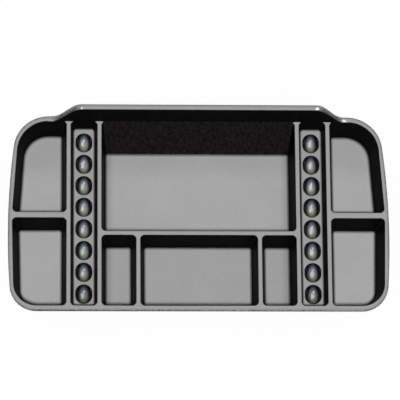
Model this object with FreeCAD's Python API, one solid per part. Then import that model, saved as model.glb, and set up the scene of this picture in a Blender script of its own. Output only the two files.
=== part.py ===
import FreeCAD, Part
import math
import os

Vector = FreeCAD.Vector

# One sheet of plastic, vacuum formed into ten bays. Millimetres.
# The origin is on the plane that the tray stands on, under the middle of its outline.
# X runs across the vehicle, Y towards the back of the seat, Z up.

# Outline of the rim
sheet = 3.0
tray_width = 1023.0
tray_depth = 551.0
side_bow_radius = 2000.0
side_bow_y = -62.0
front_corner_radius = 72.0
back_corner_radius = 95.0
rim_width = 11.5
front_rim_width = 14.0
rim_bevel = 4.5
lip_height = 14.0

# Depth of the bays and the slope of their walls, as run per unit of depth
bay_depth = 100.0
rib_slope = 0.10
rim_slope = 0.15
long_slope = 0.67
raised_slope = 0.21
mouth_bevel = 2.0
corner_radius = 11.0
facets_per_corner = 2
bay_radius = 9.0
tub_bevel = 6.0

# Raised back rim, with an S-shaped ramp at each end
rise = 66.0
raised_past_channel = 6.9
ramp_angle = math.radians(50.0)
ramp_bend_radius = 30.0
raised_rim_width = 16.0
raised_step = 15.0
raised_end_margin = 7.0

# Ribs between the bays: width of the flat top, and spans between centre lines
rib_width = 13.0
side_bay_span = 162.0
channel_span = 82.8
small_bay_span = 103.7
cross_rib_y = -63.6
side_cross_rib_y = -14.1
side_cross_rib_width = 17.0

# Ball channels: a shallow land with a row of oval cups
channel_depth = 55.0
land_radius = 6.0
cup_count = 8
cup_pitch = 60.0
cup_row_middle_y = -9.6
cup_width = 46.0
cup_length = 54.0
cup_depth = 14.0
bump_sides = 10
bump_taper = 0.7

# Values worked out from those above
rib_z = sheet + bay_depth
front_y = -tray_depth / 2
back_y = tray_depth / 2
side_back_y = back_y - raised_step
back_wall_y = back_y - raised_rim_width - rise * raised_slope
raised_z = rib_z + rise
channel_outer_rib_x = tray_width / 2 - side_bay_span
channel_inner_rib_x = channel_outer_rib_x - channel_span
front_rib_x = channel_inner_rib_x - small_bay_span
channel_x = (channel_outer_rib_x + channel_inner_rib_x) / 2
raised_half_width = channel_x + raised_past_channel
bowl_radius = ((cup_width / 2) ** 2 + cup_depth ** 2) / (2 * cup_depth)
bowl_centre_z = bowl_radius - cup_depth
above_all = raised_z + 20.0
below_all = -20.0
far_outside = tray_width


def box(x_range, y_range, z_range):
    size = [high - low for low, high in (x_range, y_range, z_range)]
    return Part.makeBox(*size, Vector(x_range[0], y_range[0], z_range[0]))


def both_sides(shape):
    return [shape, shape.mirror(Vector(0, 0, 0), Vector(1, 0, 0))]


def face_of(edges):
    return Part.Face(Part.Wire(edges))


def polygon(points):
    return Part.Face(Part.makePolygon(points + [points[0]]))


# Rim

def bowed_side(inset, y_low, y_high, z):
    """Edge of the gently bowed right side, moved inwards by inset."""
    centre_x = tray_width / 2 - side_bow_radius
    radius = side_bow_radius - inset

    def at(y):
        return Vector(centre_x + math.sqrt(radius ** 2 - (y - side_bow_y) ** 2), y, z)

    return Part.Arc(at(y_low), at((y_low + y_high) / 2), at(y_high)).toShape()


def mirrored_edge(edge):
    return edge.mirror(Vector(0, 0, 0), Vector(1, 0, 0))


def outline_prism(inset, z_low, z_high):
    """Solid with the plan outline of the rim, without the raised back."""
    near = front_y + inset
    far = side_back_y - inset
    right = bowed_side(inset, near, far, z_low)
    left = mirrored_edge(right)
    low, high = right.Vertexes[0].Point, right.Vertexes[-1].Point
    front = Part.makeLine(Vector(-low.x, low.y, z_low), low)
    back = Part.makeLine(high, Vector(-high.x, high.y, z_low))
    solid = face_of([front, right, back, left]).extrude(Vector(0, 0, z_high - z_low))
    for radius, is_corner in (
        (front_corner_radius, lambda point: point.y < 0),
        (back_corner_radius, lambda point: point.y > 0),
    ):
        corners = [
            edge for edge in solid.Edges
            if upright(edge) and is_corner(edge.CenterOfMass) and is_straight(edge)
        ]
        solid = solid.makeFillet(radius - inset, corners)
    return solid


def upright(edge):
    heights = [vertex.Z for vertex in edge.Vertexes]
    return max(heights) - min(heights) > 1.0


def is_straight(edge):
    return isinstance(edge.Curve, (Part.Line, Part.LineSegment))


def edges_at(shape, z):
    return [
        edge for edge in shape.Edges
        if abs(edge.BoundBox.ZMin - z) < 1e-4 and abs(edge.BoundBox.ZMax - z) < 1e-4
    ]


def flat_rim():
    """Top sheet and turned-down lip, everywhere but under the raised back."""
    outer = outline_prism(0.0, rib_z - lip_height, rib_z)
    outer = outer.makeChamfer(rim_bevel, edges_at(outer, rib_z))
    hollow = outline_prism(sheet, below_all, rib_z - sheet)
    room = box(
        (-raised_end_x, raised_end_x),
        (back_wall_y + sheet / 2, far_outside),
        (below_all, above_all),
    )
    return outer.cut(hollow).cut(room)


# Raised back

ramp_rise_in_bends = 2 * ramp_bend_radius * (1 - math.cos(ramp_angle))
ramp_straight = (rise - ramp_rise_in_bends) / math.sin(ramp_angle)
ramp_run = (
    2 * ramp_bend_radius * math.sin(ramp_angle)
    + ramp_straight * math.cos(ramp_angle)
)
ramp_foot_x = raised_half_width + ramp_run
raised_end_x = ramp_foot_x + raised_end_margin


def s_curve(start, end, angle, bend_radius, inset):
    """Edges from a high run down to a low one: bend, straight, bend.

    start is the end of the high run and end the beginning of the low run, as
    (along, up) pairs without the inset. The inset curve stays parallel.
    """
    first_radius = bend_radius - inset
    second_radius = bend_radius + inset
    first_centre = (start[0], start[1] - bend_radius)
    second_centre = (end[0], end[1] + bend_radius)

    def on_first(turn):
        return (
            first_centre[0] + first_radius * math.sin(turn),
            first_centre[1] + first_radius * math.cos(turn),
        )

    def on_second(turn):
        return (
            second_centre[0] - second_radius * math.sin(turn),
            second_centre[1] - second_radius * math.cos(turn),
        )

    pieces = [("arc", on_first(0), on_first(angle / 2), on_first(angle))]
    straight = math.dist(on_first(angle), on_second(angle))
    if straight > 1e-6:
        pieces.append(("line", on_first(angle), on_second(angle)))
    pieces.append(("arc", on_second(angle), on_second(angle / 2), on_second(0)))
    return pieces


def step_face(high, low, floor, angle, bend_radius, inset, place):
    """Face under a line that is high in the middle and low at both ends.

    place turns an (along, up) pair into a point of the model.
    """
    half = s_curve(
        (raised_half_width, high), (ramp_foot_x, low), angle, bend_radius, inset
    )

    def edge(kind, points):
        if kind == "arc":
            return Part.Arc(*points).toShape()
        return Part.makeLine(*points)

    edges = []
    for side in (1, -1):
        for kind, *pairs in half:
            edges.append(edge(kind, [place(side * along, up) for along, up in pairs]))
        end = place(side * raised_end_x, low - inset)
        edges.append(edge("line", [place(side * ramp_foot_x, low - inset), end]))
        edges.append(edge("line", [end, place(side * raised_end_x, floor)]))
    middle = [place(side * raised_half_width, high - inset) for side in (-1, 1)]
    edges.append(edge("line", middle))
    edges.append(edge("line", [place(side * raised_end_x, floor) for side in (-1, 1)]))
    return face_of(Part.__sortEdges__(edges))


def under_ramps(inset):
    """Everything below the raised top, set down by inset, along the back."""
    face = step_face(
        raised_z, rib_z, below_all, ramp_angle, ramp_bend_radius, inset,
        lambda along, up: Vector(along, 0, up),
    )
    return face.extrude(Vector(0, far_outside, 0))


def before_back_edge(inset):
    """Everything in front of the raised rim's back edge, set in by inset."""
    step_angle = 2 * math.atan(raised_step / ramp_run)
    step_bend_radius = ramp_run / (2 * math.sin(step_angle))
    face = step_face(
        back_y, side_back_y, 0.0, step_angle, step_bend_radius, inset,
        lambda along, up: Vector(along, up, below_all),
    )
    return face.extrude(Vector(0, 0, above_all - below_all))


def back_wall_at(z, inset=0.0, slope=raised_slope):
    """Y of the back wall at a height, with inset counted into the sheet."""
    return back_wall_y + slope * (z - rib_z) + inset * math.sqrt(1 + slope ** 2)


def behind_back_wall(inset):
    points = [
        Vector(-far_outside, back_wall_at(below_all, inset), below_all),
        Vector(-far_outside, far_outside, below_all),
        Vector(-far_outside, far_outside, above_all),
        Vector(-far_outside, back_wall_at(above_all, inset), above_all),
    ]
    return polygon(points).extrude(Vector(2 * far_outside, 0, 0))


def middle_of(edge):
    return edge.valueAt((edge.FirstParameter + edge.LastParameter) / 2)


def on_back_wall(edge):
    """True for a top edge where the back wall turns into the raised rim."""
    point = middle_of(edge)
    return abs(back_wall_at(point.z) - point.y) < 0.05


def on_back_edge(edge):
    """True for a top edge along the outside of the raised rim."""
    return edge.BoundBox.YMin > back_wall_at(middle_of(edge).z) + raised_rim_width / 2


def raised_rim():
    """Back wall above the bays, raised top and its lip, as one open section."""
    block = under_ramps(0.0).common(before_back_edge(0.0))
    block = block.common(behind_back_wall(0.0))
    block = block.common(box((-far_outside, far_outside), (0, far_outside),
                             (rib_z - lip_height, above_all)))

    for bevel, is_wanted in ((mouth_bevel, on_back_wall), (rim_bevel, on_back_edge)):
        edges = [
            edge for edge in block.Edges
            if edge.BoundBox.ZMin > rib_z - 0.01 and not at_end(edge) and is_wanted(edge)
        ]
        block = block.makeChamfer(bevel, edges)

    void = under_ramps(sheet).common(before_back_edge(sheet)).common(behind_back_wall(sheet))
    below_lip = under_ramps(lip_height).common(behind_back_wall(sheet))
    below_wall = box(
        (-far_outside, far_outside),
        (0, back_wall_at(rib_z, sheet) + sheet),
        (below_all, rib_z - sheet),
    )
    return block.cut(void).cut(below_lip).cut(below_wall)


def at_end(edge):
    return edge.BoundBox.XMin > raised_end_x - 0.01 or edge.BoundBox.XMax < 0.01 - raised_end_x


# Bays

class Wall:
    """One straight wall of a bay, by a point and normal of its top line."""

    def __init__(self, x, y, out_x, out_y, slope):
        length = math.hypot(out_x, out_y)
        self.out_x = out_x / length
        self.out_y = out_y / length
        self.reach = x * self.out_x + y * self.out_y
        self.slope = slope

    def reach_at(self, z, skin):
        return self.reach - self.slope * (rib_z - z) + skin * math.sqrt(1 + self.slope ** 2)

    def moved_in(self, distance):
        """The same line without a slope, moved towards the middle of the bay."""
        x = (self.reach - distance) * self.out_x
        y = (self.reach - distance) * self.out_y
        return Wall(x, y, self.out_x, self.out_y, 0)


def meeting(one, other, z, skin):
    """Where two walls meet at a height, moved outwards by skin."""
    cross = one.out_x * other.out_y - one.out_y * other.out_x
    a = one.reach_at(z, skin)
    b = other.reach_at(z, skin)
    return Vector(
        (a * other.out_y - b * one.out_y) / cross,
        (b * one.out_x - a * other.out_x) / cross,
        z,
    )


def planar_solid(low, high):
    """Solid between two polygons with parallel sides, anticlockwise from above."""
    faces = [polygon(low[::-1]), polygon(high)]
    for index, start in enumerate(low):
        following = (index + 1) % len(low)
        faces.append(polygon([start, low[following], high[following], high[index]]))
    return Part.Solid(Part.Shell(faces))


def corner_facets(one, other):
    """Narrow walls that take the corner between two walls round its radius."""
    centre = meeting(one.moved_in(corner_radius), other.moved_in(corner_radius), rib_z, 0)
    step = meeting(one, other, rib_z, 0) - meeting(one, other, rib_z - 1, 0)
    start = math.atan2(one.out_y, one.out_x)
    turn = (math.atan2(other.out_y, other.out_x) - start) % (2 * math.pi)
    facets = []
    for number in range(1, facets_per_corner + 1):
        angle = start + turn * number / (facets_per_corner + 1)
        facet = Wall(0, 0, math.cos(angle), math.sin(angle), 0)
        facet.reach = centre.x * facet.out_x + centre.y * facet.out_y + corner_radius
        facet.slope = step.x * facet.out_x + step.y * facet.out_y
        facets.append(facet)
    return facets


class Bay:
    """A tapered pocket between four walls, near, outer, far and inner.

    Its corners are cut off in plan, apart from one that may follow the rim's own
    rounded corner: big_corner names that corner's walls and its radius.
    """

    def __init__(self, walls, depth=bay_depth, floor_radius=bay_radius, big_corner=None):
        self.depth = depth
        self.floor_radius = floor_radius
        self.big_corner = big_corner
        self.walls = []
        for index, wall in enumerate(walls):
            before = walls[index - 1]
            if not big_corner or big_corner[:2] != (before, wall):
                self.walls += corner_facets(before, wall)
            self.walls.append(wall)

    def polygon_at(self, z, skin):
        return [
            meeting(self.walls[index - 1], wall, z, skin)
            for index, wall in enumerate(self.walls)
        ]

    def block(self, low, high):
        """Part of the bay between two levels, each a height and an outward growth."""
        shape = planar_solid(self.polygon_at(*low), self.polygon_at(*high))
        if not self.big_corner:
            return shape
        one, other, radius = self.big_corner
        low_z, high_z = low[0], high[0]
        centre = meeting(one.moved_in(radius), other.moved_in(radius), low_z, 0)
        steps = [Vector(wall.out_x, wall.out_y, 0) * 2 * radius for wall in (one, other)]
        quadrant = polygon([
            centre, centre + steps[0], centre + steps[0] + steps[1], centre + steps[1],
        ]).extrude(Vector(0, 0, high_z - low_z))
        low_radius, high_radius = [
            radius + one.reach_at(*level) - one.reach for level in (low, high)
        ]
        cone = Part.makeCone(low_radius, high_radius, high_z - low_z, centre)
        return shape.cut(quadrant.cut(cone)).Solids[0]

    def hollow(self):
        """The bay itself, with the rounded bend into its floor."""
        floor_z = rib_z - self.depth
        shape = self.block((floor_z, 0), (rib_z, 0))
        return shape.makeFillet(self.floor_radius, edges_at(shape, floor_z))

    def cutter(self):
        """The bay with the bevel of its mouth, up to just above the ribs."""
        mouth = self.block((rib_z - mouth_bevel, 0), (rib_z + 1, mouth_bevel + 1))
        return self.hollow().fuse(mouth)

    def tub(self):
        """The outside of the sheet around the bay, with a bevelled bottom."""
        bottom_z = rib_z - self.depth - sheet
        bevel_z = bottom_z + tub_bevel
        foot = self.block((bottom_z, sheet - tub_bevel), (bevel_z, sheet))
        return foot.fuse(self.block((bevel_z, sheet), (rib_z, sheet)))


def rib_edges(centre, width=rib_width):
    return centre - width / 2, centre + width / 2


def near_wall(y, slope=rib_slope):
    return Wall(0, y, 0, -1, slope)


def far_wall(y, slope=rib_slope):
    return Wall(0, y, 0, 1, slope)


def right_wall(x, slope=rib_slope):
    return Wall(x, 0, 1, 0, slope)


def left_wall(x, slope=rib_slope):
    return Wall(x, 0, -1, 0, slope)


def side_rim_wall(near_y, far_y):
    """Straight wall under the bowed side of the rim, on the chord of the bow."""
    low = bowed_side(rim_width, near_y, far_y, 0).Vertexes[0].Point
    high = bowed_side(rim_width, near_y, far_y, 0).Vertexes[-1].Point
    return Wall(low.x, low.y, high.y - low.y, low.x - high.x, rim_slope)


inner_rib_low, inner_rib_high = rib_edges(channel_inner_rib_x)
outer_rib_low, outer_rib_high = rib_edges(channel_outer_rib_x)
front_rib_low, front_rib_high = rib_edges(front_rib_x)
cross_low, cross_high = rib_edges(cross_rib_y)
side_cross_low, side_cross_high = rib_edges(side_cross_rib_y, side_cross_rib_width)

front_wall = near_wall(front_y + front_rim_width, rim_slope)
back_wall = far_wall(back_wall_y, rim_slope)
channel_back_wall = far_wall(back_wall_y)
long_wall = far_wall(back_wall_y, long_slope)
side_front_wall = side_rim_wall(front_y + front_corner_radius, side_cross_low)
side_back_wall = side_rim_wall(side_cross_high, side_back_y - back_corner_radius)

main_bay = Bay([
    near_wall(cross_high), right_wall(inner_rib_low), long_wall, left_wall(-inner_rib_low),
])
middle_bay = Bay([
    front_wall, right_wall(front_rib_low), far_wall(cross_low), left_wall(-front_rib_low),
])
small_bay = Bay([
    front_wall, right_wall(inner_rib_low), far_wall(cross_low), left_wall(front_rib_high),
])
side_front_bay = Bay(
    [front_wall, side_front_wall, far_wall(side_cross_low), left_wall(outer_rib_high)],
    big_corner=(front_wall, side_front_wall, front_corner_radius - rim_width),
)
side_back_bay = Bay(
    [near_wall(side_cross_high), side_back_wall, back_wall, left_wall(outer_rib_high)],
    big_corner=(side_back_wall, back_wall, back_corner_radius - rim_width),
)
channel = Bay(
    [front_wall, right_wall(outer_rib_low), channel_back_wall, left_wall(inner_rib_high)],
    depth=channel_depth, floor_radius=land_radius,
)


def in_front_of_wall(slope_below):
    """Where a cutter may reach: not into the wall under the raised rim."""
    half = raised_end_x
    points = [
        Vector(-half, -far_outside, below_all),
        Vector(-half, back_wall_at(below_all, 0.0, slope_below), below_all),
        Vector(-half, back_wall_y, rib_z),
        Vector(-half, back_wall_at(above_all), above_all),
        Vector(-half, -far_outside, above_all),
    ]
    middle = polygon(points).extrude(Vector(2 * half, 0, 0))
    outside = box((half, far_outside), (-far_outside, far_outside), (below_all, above_all))
    return middle.fuse(both_sides(outside)).removeSplitter()


# Cups

def cup_hollow():
    """Two balls, one for each end of the cup, and the straight stretch between them."""
    half_straight = (cup_length - cup_width) / 2
    along = Vector(0, 1, 0)
    near_end, far_end = [
        Part.makeSphere(bowl_radius, Vector(0, y, bowl_centre_z), along)
        for y in (-half_straight, half_straight)
    ]
    middle = Part.makeCylinder(
        bowl_radius, 2 * half_straight, Vector(0, -half_straight, bowl_centre_z), along
    )
    return far_end.fuse([near_end, middle]).removeSplitter()


def cup_bump():
    """The underside of a cup: a tapered bump with many sides around the bowl."""
    def oval(scale, z):
        half_width = (cup_width / 2 + sheet) * scale / math.cos(math.pi / bump_sides)
        half_length = half_width + (cup_length - cup_width) / 2 * scale
        turns = [2 * math.pi * (side + 0.5) / bump_sides for side in range(bump_sides)]
        return [
            Vector(half_width * math.cos(turn), half_length * math.sin(turn), z)
            for turn in turns
        ]

    return planar_solid(oval(bump_taper, -cup_depth - sheet), oval(1.0, 0))


def cup_row(bowl):
    first = cup_row_middle_y - cup_pitch * (cup_count - 1) / 2
    return [
        bowl.translated(Vector(channel_x, first + cup_pitch * number, rib_z - channel_depth))
        for number in range(cup_count)
    ]


# Tray

def build_tray():
    tubs = [main_bay.tub(), middle_bay.tub()]
    for bay in (small_bay, side_front_bay, side_back_bay, channel):
        tubs += both_sides(bay.tub())
    for bump in cup_row(cup_bump()):
        tubs += both_sides(bump)

    cutters = [main_bay.cutter().common(in_front_of_wall(long_slope)), middle_bay.cutter()]
    for bay in (small_bay, side_front_bay):
        cutters += both_sides(bay.cutter())
    for bay, slope in ((side_back_bay, rim_slope), (channel, rib_slope)):
        cutters += both_sides(bay.cutter().common(in_front_of_wall(slope)))
    for bowl in cup_row(cup_hollow()):
        cutters += both_sides(bowl)

    shape = flat_rim().fuse([raised_rim()] + tubs)
    return shape.cut(cutters).removeSplitter()


tray = build_tray()
os.makedirs("parts", exist_ok=True)
tray.exportStep("parts/tray.step")
print("solids", len(tray.Solids), "valid", tray.isValid())
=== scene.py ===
import math

import bpy
from mathutils import Matrix, Vector

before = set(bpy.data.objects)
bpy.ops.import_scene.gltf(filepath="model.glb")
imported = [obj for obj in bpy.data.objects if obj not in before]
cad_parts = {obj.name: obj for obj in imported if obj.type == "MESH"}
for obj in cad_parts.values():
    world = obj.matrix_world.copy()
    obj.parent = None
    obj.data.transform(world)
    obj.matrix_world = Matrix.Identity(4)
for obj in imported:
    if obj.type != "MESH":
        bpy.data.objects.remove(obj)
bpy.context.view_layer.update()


# Node helpers

def newMaterial(name):
    material = bpy.data.materials.new(name)
    material.use_nodes = True
    material.node_tree.nodes.clear()
    return material


def place(tree, kind, inputs=None, **settings):
    # one node, with its plain inputs set or linked
    made = tree.nodes.new(kind)
    for key, value in settings.items():
        setattr(made, key, value)
    for key, value in (inputs or {}).items():
        if isinstance(value, bpy.types.NodeSocket):
            tree.links.new(value, made.inputs[key])
        else:
            made.inputs[key].default_value = value
    return made


def maths(tree, operation, first, second=0.0, clamp=False):
    made = place(tree, "ShaderNodeMath", {0: first, 1: second}, operation=operation)
    made.use_clamp = clamp
    return made.outputs[0]


def spread(tree, value, fromRange, toRange, interpolation="LINEAR"):
    made = place(tree, "ShaderNodeMapRange", {
        "Value": value, "From Min": fromRange[0], "From Max": fromRange[1],
        "To Min": toRange[0], "To Max": toRange[1]}, interpolation_type=interpolation)
    return made.outputs[0]


def ramp(tree, factor, stops):
    made = place(tree, "ShaderNodeValToRGB", {"Fac": factor})
    while len(made.color_ramp.elements) < len(stops):
        made.color_ramp.elements.new(0.5)
    for element, (position, level) in zip(made.color_ramp.elements, stops):
        element.position = position
        element.color = (level,) * 3 + (1.0,)
    return made.outputs["Color"]


def blend(tree, factor, first, second):
    made = place(tree, "ShaderNodeMix", {0: factor, 6: first, 7: second}, data_type="RGBA")
    return made.outputs[2]


def addGroup(tree, group, position):
    # a node of a shared group, fed with the place on the object
    made = place(tree, "ShaderNodeGroup", node_tree=group)
    tree.links.new(position, made.inputs["Position"])
    return made


def newGroup(name, inputs, outputs):
    group = bpy.data.node_groups.new(name, "ShaderNodeTree")
    for socketName, kind, value in inputs:
        socket = group.interface.new_socket(socketName, in_out="INPUT", socket_type=kind)
        if value is not None:
            socket.default_value = value
    for socketName, kind in outputs:
        group.interface.new_socket(socketName, in_out="OUTPUT", socket_type=kind)
    start = group.nodes.new("NodeGroupInput")
    end = group.nodes.new("NodeGroupOutput")
    return group, start, end


# Leather-like grain that is pressed into the sheet: cells with soft ridges. Scales are per metre.

cellGrain = {
    "cells": 420.0, "wanderScale": 160.0, "wander": 0.004, "ridge": 0.22,
    "wrinkleScale": 900.0, "wrinkle": 0.35,
}


def hairCellGroup():
    group, start, end = newGroup(
        "hair cell grain",
        [("Position", "NodeSocketVector", None),
         ("Cells per metre", "NodeSocketFloat", cellGrain["cells"]),
         ("Wrinkle", "NodeSocketFloat", cellGrain["wrinkle"])],
        [("Height", "NodeSocketFloat"), ("Cell tone", "NodeSocketFloat")],
    )
    wander = place(group, "ShaderNodeTexNoise", {
        "Vector": start.outputs["Position"], "Scale": cellGrain["wanderScale"], "Detail": 2.0})
    offset = place(group, "ShaderNodeVectorMath", {
        0: wander.outputs["Color"], 1: (0.5, 0.5, 0.5)}, operation="SUBTRACT")
    shift = place(group, "ShaderNodeVectorMath", {0: offset.outputs[0]}, operation="SCALE")
    shift.inputs["Scale"].default_value = cellGrain["wander"]
    moved = place(group, "ShaderNodeVectorMath", {
        0: start.outputs["Position"], 1: shift.outputs[0]}, operation="ADD")
    cells = place(group, "ShaderNodeTexVoronoi", {
        "Vector": moved.outputs[0], "Scale": start.outputs["Cells per metre"]},
        feature="DISTANCE_TO_EDGE")
    plateau = spread(
        group, cells.outputs["Distance"], (0.0, cellGrain["ridge"]), (0.0, 1.0), "SMOOTHSTEP")
    tones = place(group, "ShaderNodeTexVoronoi", {
        "Vector": moved.outputs[0], "Scale": start.outputs["Cells per metre"]})
    wrinkles = place(group, "ShaderNodeTexNoise", {
        "Vector": start.outputs["Position"], "Scale": cellGrain["wrinkleScale"],
        "Detail": 3.0})
    rough = maths(group, "MULTIPLY", wrinkles.outputs["Fac"], start.outputs["Wrinkle"])
    height = maths(group, "ADD", plateau, rough)
    group.links.new(height, end.inputs["Height"])
    group.links.new(tones.outputs["Distance"], end.inputs["Cell tone"])
    return group


# Slanting creases of the grain: noise that is turned and drawn out one way

creases = {
    "perMetre": 250.0, "slant": (0.0, math.radians(-58.0), math.radians(35.0)),
    "stretch": (0.35, 1.0, 1.0), "span": (0.32, 0.68),
}


def creaseGroup():
    group, start, end = newGroup(
        "slanting creases",
        [("Position", "NodeSocketVector", None),
         ("Creases per metre", "NodeSocketFloat", creases["perMetre"]),
         ("Slant", "NodeSocketVector", creases["slant"])],
        [("Tone", "NodeSocketFloat")],
    )
    turned = place(group, "ShaderNodeVectorRotate", {
        "Vector": start.outputs["Position"], "Rotation": start.outputs["Slant"]},
        rotation_type="EULER_XYZ")
    stretched = place(group, "ShaderNodeVectorMath", {
        0: turned.outputs[0], 1: creases["stretch"]}, operation="MULTIPLY")
    noise = place(group, "ShaderNodeTexNoise", {
        "Vector": stretched.outputs[0], "Scale": start.outputs["Creases per metre"],
        "Detail": 2.0, "Roughness": 0.6})
    tone = spread(group, noise.outputs["Fac"], creases["span"], (0.0, 1.0))
    group.links.new(tone, end.inputs["Tone"])
    return group


# Where the surface lies: along the outer edge of the rim, in a cup, or on a ramp of the rim

outline = {
    "halfWidth": 0.5115, "bowMiddle": -0.062, "bowRadius": 2.0,
    "frontY": -0.2755, "frontRadius": 0.072, "backRadius": 0.095,
    "sideBackY": 0.2605, "raisedBackY": 0.2755, "raisedEnd": 0.315, "rampFoot": 0.398,
    "edgeBand": 0.0055, "edgeFade": 0.003,
    "rampFade": 0.004, "rampFrontY": 0.2475, "rampLowZ": 0.0995,
}

cupRows = {
    "rowX": 0.3081, "firstY": -0.2196, "pitch": 0.060, "halfWidth": 0.0235,
    "halfLength": 0.027, "landZ": 0.0479, "bottomZ": 0.0334,
    "paleWidth": 1.2, "paleLength": 1.95, "paleShift": 0.08,
}


def cornerReach(group, fromSide, fromEnd, radius):
    # distance in from a rounded corner's outline, given the distances in from its two edges
    beside = maths(group, "MAXIMUM", maths(group, "SUBTRACT", radius, fromSide), 0.0)
    before = maths(group, "MAXIMUM", maths(group, "SUBTRACT", radius, fromEnd), 0.0)
    squares = maths(
        group, "ADD", maths(group, "MULTIPLY", beside, beside),
        maths(group, "MULTIPLY", before, before))
    return maths(group, "SUBTRACT", radius, maths(group, "SQRT", squares))


def outerEdgeGroup():
    group, start, end = newGroup(
        "outer edge of the rim", [("Position", "NodeSocketVector", None)],
        [("Mask", "NodeSocketFloat")])
    parts = place(group, "ShaderNodeSeparateXYZ", {0: start.outputs["Position"]})
    across = maths(group, "ABSOLUTE", parts.outputs["X"])
    along = maths(group, "SUBTRACT", parts.outputs["Y"], outline["bowMiddle"])
    bow = maths(
        group, "DIVIDE", maths(group, "MULTIPLY", along, along), 2 * outline["bowRadius"])
    fromSide = maths(
        group, "SUBTRACT", maths(group, "SUBTRACT", outline["halfWidth"], bow), across)
    fromFront = maths(group, "SUBTRACT", parts.outputs["Y"], outline["frontY"])
    backY = spread(
        group, across, (outline["raisedEnd"], outline["rampFoot"]),
        (outline["raisedBackY"], outline["sideBackY"]), "SMOOTHSTEP")
    fromBack = maths(group, "SUBTRACT", backY, parts.outputs["Y"])
    reach = maths(
        group, "MINIMUM",
        cornerReach(group, fromSide, fromFront, outline["frontRadius"]),
        cornerReach(group, fromSide, fromBack, outline["backRadius"]))
    mask = spread(
        group, reach, (outline["edgeBand"], outline["edgeBand"] + outline["edgeFade"]),
        (1.0, 0.0))
    group.links.new(mask, end.inputs["Mask"])
    return group


def cupGroup():
    group, start, end = newGroup(
        "cups of the channels", [("Position", "NodeSocketVector", None)],
        [("Mask", "NodeSocketFloat"), ("From middle", "NodeSocketFloat"),
         ("Along", "NodeSocketFloat")])
    parts = place(group, "ShaderNodeSeparateXYZ", {0: start.outputs["Position"]})
    side = maths(group, "SIGN", parts.outputs["X"])
    fromRow = maths(
        group, "SUBTRACT", parts.outputs["X"], maths(group, "MULTIPLY", side, cupRows["rowX"]))
    inRow = maths(group, "LESS_THAN", maths(group, "ABSOLUTE", fromRow), cupRows["halfWidth"])
    under = maths(group, "LESS_THAN", parts.outputs["Z"], cupRows["landZ"])
    above = maths(group, "GREATER_THAN", parts.outputs["Z"], cupRows["bottomZ"])
    steps = maths(
        group, "DIVIDE", maths(group, "SUBTRACT", parts.outputs["Y"], cupRows["firstY"]),
        cupRows["pitch"])
    fromCup = maths(group, "FLOORED_MODULO", maths(group, "ADD", steps, 0.5), 1.0)
    fromCup = maths(group, "SUBTRACT", fromCup, 0.5)
    mask = maths(group, "MULTIPLY", maths(group, "MULTIPLY", inRow, under), above)
    group.links.new(mask, end.inputs["Mask"])
    # shape of the painted reflection in each cup: a long pale patch, set a little towards the
    # front
    across = maths(group, "DIVIDE", fromRow, cupRows["halfWidth"])
    along = maths(group, "MULTIPLY", fromCup, cupRows["pitch"] / cupRows["halfLength"])
    wide = maths(group, "DIVIDE", across, cupRows["paleWidth"])
    lengthwise = maths(group, "ADD", along, cupRows["paleShift"])
    long = maths(group, "DIVIDE", lengthwise, cupRows["paleLength"])
    squares = maths(
        group, "ADD", maths(group, "MULTIPLY", wide, wide), maths(group, "MULTIPLY", long, long))
    group.links.new(maths(group, "SQRT", squares), end.inputs["From middle"])
    group.links.new(along, end.inputs["Along"])
    return group


def rampGroup():
    group, start, end = newGroup(
        "ramps of the raised rim", [("Position", "NodeSocketVector", None)],
        [("Mask", "NodeSocketFloat")])
    parts = place(group, "ShaderNodeSeparateXYZ", {0: start.outputs["Position"]})
    across = maths(group, "ABSOLUTE", parts.outputs["X"])
    rampStart, rampEnd = outline["raisedEnd"], outline["rampFoot"]
    after = spread(group, across, (rampStart - outline["rampFade"], rampStart), (0.0, 1.0))
    before = spread(group, across, (rampEnd, rampEnd + outline["rampFade"]), (1.0, 0.0))
    behind = maths(group, "GREATER_THAN", parts.outputs["Y"], outline["rampFrontY"])
    high = maths(group, "GREATER_THAN", parts.outputs["Z"], outline["rampLowZ"])
    mask = maths(group, "MULTIPLY", maths(group, "MULTIPLY", after, before),
                 maths(group, "MULTIPLY", behind, high))
    group.links.new(mask, end.inputs["Mask"])
    return group


# Tray sheet

traySheet = {
    "grainDepth": 0.00022, "grainStrength": 0.6, "specular": 0.02,
    # painted sheen and shade by slope: pale glare on flat places, black on walls
    "paintedSlopeShades": [
        (0.0, 0.0012), (0.14, 0.0014), (0.2, 0.0036), (0.5, 0.0034), (0.55, 0.0062),
        (0.60, 0.026), (0.645, 0.065), (0.77, 0.10), (0.87, 0.155), (0.95, 0.23),
        (0.985, 0.30), (1.0, 0.352)],
    # painted sheen by slope on the outer edge of the rim
    "paintedEdgeShades": [(0.0, 0.03), (0.15, 0.10), (0.4, 0.19), (0.7, 0.24), (1.0, 0.33)],
    "outsideGrey": 0.016,
    # painted reflection in the cups: pale in the middle, dark towards the rim
    "paintedCupGlare": [(0.0, 0.31), (0.2, 0.27), (0.35, 0.16), (0.46, 0.04), (0.55, 0.004)],
    "levelFrom": 0.9996, "outsideBelow": -0.02, "roughness": (0.48, 0.66),
    "steep": (0.62, 0.8), "creaseOnSteep": (0.35, 1.85), "creaseOnLevel": (0.975, 1.02),
    "mottleScale": 9.0, "mottleSpan": (0.3, 0.7), "mottle": (0.97, 1.03),
    "cellHeights": (0.0, 1.3), "cellTone": (0.86, 1.04),
    "slopePaintedTint": (1.10, 0.95, 1.0), "slopeFrom": (0.4, 0.5), "slopeTo": (0.6, 0.75),
    "cupGlareBlueTint": (0.76, 0.93, 1.32), "cupGlareWarmTint": (1.04, 1.03, 0.88),
    "cupTintAlong": (-0.4, 0.9), "frontCupsY": (-0.23, -0.14), "frontCupsPaintedShade": 0.66,
    "rampGloss": 1.0, "rampGlossFrom": (0.5, 0.8), "cupGloss": 0.42, "glossRoughness": 0.16,
}
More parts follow.
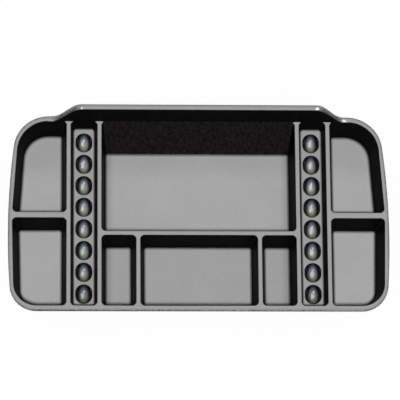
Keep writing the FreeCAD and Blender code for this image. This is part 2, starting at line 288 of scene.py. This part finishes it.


# Floors of the bays get painted light and shade: painted paler in the side bays and the main bay,
# painted shade under the main bay's long slope and along its sides. Each tone is a share that is
# added.
paintedFloorLight = {
    "belowZ": 0.02, "sideX": (0.33, 0.35), "mainY": (-0.07, -0.05),
    "all": 0.062, "side": 0.115, "main": 0.08, "paintedFarShade": -0.12, "paintedFarShadeY": (0.10, 0.165),
    "paintedMarginShade": -0.25, "marginX": (0.224, 0.246), "mainEndX": 0.255,
}


def trayMaterial():
    material = newMaterial("textured black sheet")
    tree = material.node_tree
    coordinates = place(tree, "ShaderNodeTexCoord")
    position = coordinates.outputs["Object"]
    facing = place(tree, "ShaderNodeSeparateXYZ", {0: coordinates.outputs["Normal"]})
    truly = place(tree, "ShaderNodeSeparateXYZ", {
        0: place(tree, "ShaderNodeNewGeometry").outputs["True Normal"]})
    level = maths(tree, "GREATER_THAN", truly.outputs["Z"], traySheet["levelFrom"])
    upward = maths(tree, "MAXIMUM", facing.outputs["Z"], level)

    where = place(tree, "ShaderNodeSeparateXYZ", {0: position})
    grain = addGroup(tree, hairCellGroup(), position)
    creased = addGroup(tree, creaseGroup(), position).outputs["Tone"]
    outerEdge = addGroup(tree, outerEdgeGroup(), position)
    cups = addGroup(tree, cupGroup(), position)
    ramps = addGroup(tree, rampGroup(), position)

    # painted sheen and shade: the colour follows the slope, painted pale as glare of the light
    # from above where the sheet lies flat, and black on its walls; the outer edge of the rim gets
    # a paler painted sheen of its own
    walls = ramp(tree, upward, traySheet["paintedSlopeShades"])
    edge = ramp(tree, upward, traySheet["paintedEdgeShades"])
    shade = blend(tree, outerEdge.outputs["Mask"], walls, edge)
    # in the cups, a painted reflection: a pale long patch in the middle of each cup, bluish
    # towards its back end and warmer towards its front, and painted shade on the front cups
    inCup = ramp(tree, cups.outputs["From middle"], traySheet["paintedCupGlare"])
    cupTint = blend(
        tree, spread(tree, cups.outputs["Along"], traySheet["cupTintAlong"], (0.0, 1.0)),
        traySheet["cupGlareWarmTint"] + (1.0,), traySheet["cupGlareBlueTint"] + (1.0,))
    tintedCup = place(tree, "ShaderNodeVectorMath", {0: inCup, 1: cupTint}, operation="MULTIPLY")
    dimmedCup = place(
        tree, "ShaderNodeVectorMath", {0: tintedCup.outputs[0]}, operation="SCALE")
    cupDim = spread(
        tree, where.outputs["Y"], traySheet["frontCupsY"], (traySheet["frontCupsPaintedShade"], 1.0))
    tree.links.new(cupDim, dimmedCup.inputs["Scale"])
    shade = blend(tree, cups.outputs["Mask"], shade, dimmedCup.outputs[0])

    # walls that lean over, and what faces down, are the outside of the tubs
    outside = maths(tree, "LESS_THAN", facing.outputs["Z"], traySheet["outsideBelow"])
    shade = blend(tree, outside, shade, (traySheet["outsideGrey"],) * 3 + (1.0,))

    # creases show on dark slopes, and hardly at all on flat places
    steep = spread(tree, upward, traySheet["steep"], (1.0, 0.0))
    creaseTone = spread(tree, creased, (0.0, 1.0), traySheet["creaseOnSteep"])
    faintTone = spread(tree, creased, (0.0, 1.0), traySheet["creaseOnLevel"])
    tone = blend(tree, steep, faintTone, creaseTone)
    mottle = place(tree, "ShaderNodeTexNoise", {
        "Vector": position, "Scale": traySheet["mottleScale"], "Detail": 4.0})
    mottleTone = spread(tree, mottle.outputs["Fac"], traySheet["mottleSpan"], traySheet["mottle"])
    cellTone = spread(
        tree, grain.outputs["Height"], traySheet["cellHeights"], traySheet["cellTone"])
    # painted light and shade on the floors of the bays
    across = maths(tree, "ABSOLUTE", where.outputs["X"])
    beside = spread(tree, across, paintedFloorLight["sideX"], (0.0, paintedFloorLight["side"]))
    inMain = spread(tree, where.outputs["Y"], paintedFloorLight["mainY"], (0.0, paintedFloorLight["main"]))
    margin = maths(
        tree, "MULTIPLY",
        spread(tree, across, paintedFloorLight["marginX"], (0.0, paintedFloorLight["paintedMarginShade"]), "SMOOTHSTEP"),
        maths(tree, "LESS_THAN", across, paintedFloorLight["mainEndX"]))
    paintedFarShade = spread(
        tree, where.outputs["Y"], paintedFloorLight["paintedFarShadeY"], (0.0, paintedFloorLight["paintedFarShade"]), "SMOOTHSTEP")
    onFloor = maths(tree, "LESS_THAN", where.outputs["Z"], paintedFloorLight["belowZ"])
    change = maths(tree, "ADD", maths(tree, "MAXIMUM", beside, inMain), paintedFarShade)
    change = maths(tree, "ADD", maths(tree, "ADD", change, paintedFloorLight["all"]), margin)
    floorPaintedLightFactor = maths(tree, "ADD", maths(tree, "MULTIPLY", change, onFloor), 1.0)
    tone = maths(tree, "MULTIPLY", tone, maths(tree, "MULTIPLY", mottleTone, cellTone))
    tone = maths(tree, "MULTIPLY", tone, floorPaintedLightFactor)
    colour = place(tree, "ShaderNodeVectorMath", {0: shade}, operation="SCALE")
    tree.links.new(tone, colour.inputs["Scale"])
    # a painted pinkish tint of light on sloping faces
    sloping = maths(
        tree, "MULTIPLY", spread(tree, upward, traySheet["slopeFrom"], (0.0, 1.0)),
        spread(tree, upward, traySheet["slopeTo"], (1.0, 0.0)))
    slopeLightTint = blend(tree, sloping, (1.0, 1.0, 1.0, 1.0), traySheet["slopePaintedTint"] + (1.0,))
    tinted = place(
        tree, "ShaderNodeVectorMath", {0: colour.outputs[0], 1: slopeLightTint}, operation="MULTIPLY")

    bump = place(tree, "ShaderNodeBump", {
        "Height": grain.outputs["Height"], "Distance": traySheet["grainDepth"],
        "Strength": traySheet["grainStrength"]})
    roughness = spread(
        tree, grain.outputs["Cell tone"], (0.0, 1.0), traySheet["roughness"])
    cupGloss = maths(tree, "MULTIPLY", cups.outputs["Mask"], traySheet["cupGloss"])
    rampGloss = maths(
        tree, "MULTIPLY", ramps.outputs["Mask"],
        spread(tree, upward, traySheet["rampGlossFrom"], (0.0, traySheet["rampGloss"])))
    gloss = maths(tree, "MAXIMUM", cupGloss, rampGloss)
    surface = place(tree, "ShaderNodeBsdfPrincipled", {
        "Base Color": tinted.outputs[0], "Roughness": roughness,
        "Normal": bump.outputs[0], "Specular IOR Level": traySheet["specular"],
        "Coat Weight": gloss, "Coat Roughness": traySheet["glossRoughness"]})
    place(tree, "ShaderNodeOutputMaterial", {"Surface": surface.outputs[0]})
    return material


# Soft bends: the narrow bevels and corner walls of the mesh shade as rounded ones. Vertices that
# lie in one place are merged for this, and the shape stays.

bends = {
    "merge": 0.00002, "sharpAngle": math.radians(50.0), "levelWeight": 60,
    "kinkY": 0.24564, "kinkZ": 0.103, "kinkReach": 0.0002,
}


def softBends(shown):
    group = bpy.data.node_groups.new("soft bends", "GeometryNodeTree")
    group.interface.new_socket("Geometry", in_out="INPUT", socket_type="NodeSocketGeometry")
    group.interface.new_socket("Geometry", in_out="OUTPUT", socket_type="NodeSocketGeometry")
    start = group.nodes.new("NodeGroupInput")
    end = group.nodes.new("NodeGroupOutput")
    merged = place(group, "GeometryNodeMergeByDistance", {
        "Geometry": start.outputs[0], "Distance": bends["merge"]})
    faces = place(group, "GeometryNodeSetShadeSmooth", {
        "Geometry": merged.outputs[0], "Shade Smooth": True}, domain="FACE")
    edges = place(group, "GeometryNodeSetShadeSmooth", {
        "Geometry": faces.outputs[0], "Shade Smooth": True}, domain="EDGE")
    angle = place(group, "GeometryNodeInputMeshEdgeAngle")
    turned = maths(group, "GREATER_THAN", angle.outputs["Unsigned Angle"], bends["sharpAngle"])
    where = place(group, "ShaderNodeSeparateXYZ", {
        0: place(group, "GeometryNodeInputPosition").outputs[0]})
    fromY = maths(group, "ABSOLUTE", maths(group, "SUBTRACT", where.outputs["Y"], bends["kinkY"]))
    fromZ = maths(group, "ABSOLUTE", maths(group, "SUBTRACT", where.outputs["Z"], bends["kinkZ"]))
    # the line where the long slope begins stays sharp
    kink = maths(group, "LESS_THAN", maths(group, "ADD", fromY, fromZ), bends["kinkReach"])
    sharp = maths(group, "GREATER_THAN", maths(group, "ADD", turned, kink), 0.5)
    sharpened = place(group, "GeometryNodeSetShadeSmooth", {
        "Geometry": edges.outputs[0], "Selection": sharp, "Shade Smooth": False}, domain="EDGE")
    group.links.new(sharpened.outputs[0], end.inputs[0])
    shown.modifiers.new("soft bends", "NODES").node_group = group
    weighted = shown.modifiers.new("level faces", "WEIGHTED_NORMAL")
    weighted.mode = "FACE_AREA"
    weighted.weight = bends["levelWeight"]
    weighted.keep_sharp = True


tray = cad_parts["tray"]
softBends(tray)
tray.data.materials.clear()
tray.data.materials.append(trayMaterial())
print("sheet material set")


# Floor

studio = {
    "floorSize": 12.0, "floorZ": -0.0002, "floorAlbedo": 0.94, "floorShadow": 0.15,
    "sun": 2.9, "sunSpread": 6.0, "sunTilt": 15.5, "sunLean": 3.0, "world": 0.15,
    "boxPlace": (1.2, 1.15, 3.7), "boxSize": (2.2, 3.4), "boxPower": 380.0,
}


def studioFloor():
    bpy.ops.mesh.primitive_plane_add(size=studio["floorSize"], location=(0, 0, studio["floorZ"]))
    floor = bpy.context.object
    floor.name = "studio_floor"
    material = newMaterial("studio floor")
    tree = material.node_tree
    white = place(tree, "ShaderNodeEmission", {"Color": (1, 1, 1, 1), "Strength": 1.0})
    paper = place(tree, "ShaderNodeBsdfDiffuse", {
        "Color": (studio["floorAlbedo"],) * 3 + (1.0,)})
    rays = place(tree, "ShaderNodeLightPath")
    seen = maths(tree, "ADD", rays.outputs["Is Camera Ray"], rays.outputs["Is Glossy Ray"])
    seen = maths(tree, "ADD", seen, rays.outputs["Is Transmission Ray"], clamp=True)
    whiteShare = maths(tree, "MULTIPLY", seen, 1.0 - studio["floorShadow"])
    mixed = place(tree, "ShaderNodeMixShader", {
        0: whiteShare, 1: paper.outputs[0], 2: white.outputs[0]})
    # from below, the floor lets the underside of the tray be seen
    clear = place(tree, "ShaderNodeBsdfTransparent")
    sides = place(tree, "ShaderNodeNewGeometry")
    shown = place(tree, "ShaderNodeMixShader", {
        0: sides.outputs["Backfacing"], 1: mixed.outputs[0], 2: clear.outputs[0]})
    place(tree, "ShaderNodeOutputMaterial", {"Surface": shown.outputs[0]})
    floor.data.materials.append(material)


studioFloor()


# Light

def addLamp(name, kind, turn):
    lamp = bpy.data.objects.new(name, bpy.data.lights.new(name, kind))
    bpy.context.collection.objects.link(lamp)
    lamp.rotation_euler = turn
    return lamp


def studioLight():
    world = bpy.data.worlds.new("studio")
    bpy.context.scene.world = world
    world.use_nodes = True
    background = world.node_tree.nodes["Background"]
    background.inputs["Color"].default_value = (1, 1, 1, 1)
    background.inputs["Strength"].default_value = studio["world"]
    sun = addLamp("overhead", "SUN", (
        math.radians(studio["sunTilt"]), math.radians(-studio["sunLean"]), 0))
    sun.data.energy = studio["sun"]
    sun.data.angle = math.radians(studio["sunSpread"])

    # a long soft box that only shows as a reflection, mostly in the glossy cups and ramps
    boxPlace = Vector(studio["boxPlace"])
    softBox = addLamp("soft box", "AREA", (-boxPlace).to_track_quat("-Z", "Y").to_euler())
    softBox.location = boxPlace
    softBox.data.shape = "RECTANGLE"
    softBox.data.size, softBox.data.size_y = studio["boxSize"]
    softBox.data.energy = studio["boxPower"]
    softBox.visible_diffuse = False
    softBox.visible_camera = False


studioLight()
print("studio ready")


# Camera

camera = {
    "place": (-0.381, -2.037, 8.103), "target": (0.003, 0.0275, 0.103),
    "lens": 277.3, "sensor": 36.0, "clipEnd": 50.0, "roll": math.radians(-0.5),
}


def photoCamera():
    data = bpy.data.cameras.new("photo camera")
    data.lens = camera["lens"]
    data.sensor_width = camera["sensor"]
    data.clip_end = camera["clipEnd"]
    shown = bpy.data.objects.new("photo camera", data)
    bpy.context.collection.objects.link(shown)
    aim = (Vector(camera["target"]) - Vector(camera["place"])).normalized()
    right = aim.cross(Vector((0, 1, 0))).normalized()
    up = right.cross(aim)
    turn = Matrix((right, up, -aim)).transposed() @ Matrix.Rotation(camera["roll"], 3, "Z")
    shown.location = camera["place"]
    shown.rotation_euler = turn.to_euler()
    bpy.context.scene.camera = shown


photoCamera()
bpy.context.scene.view_settings.view_transform = "Standard"

print("finishing")
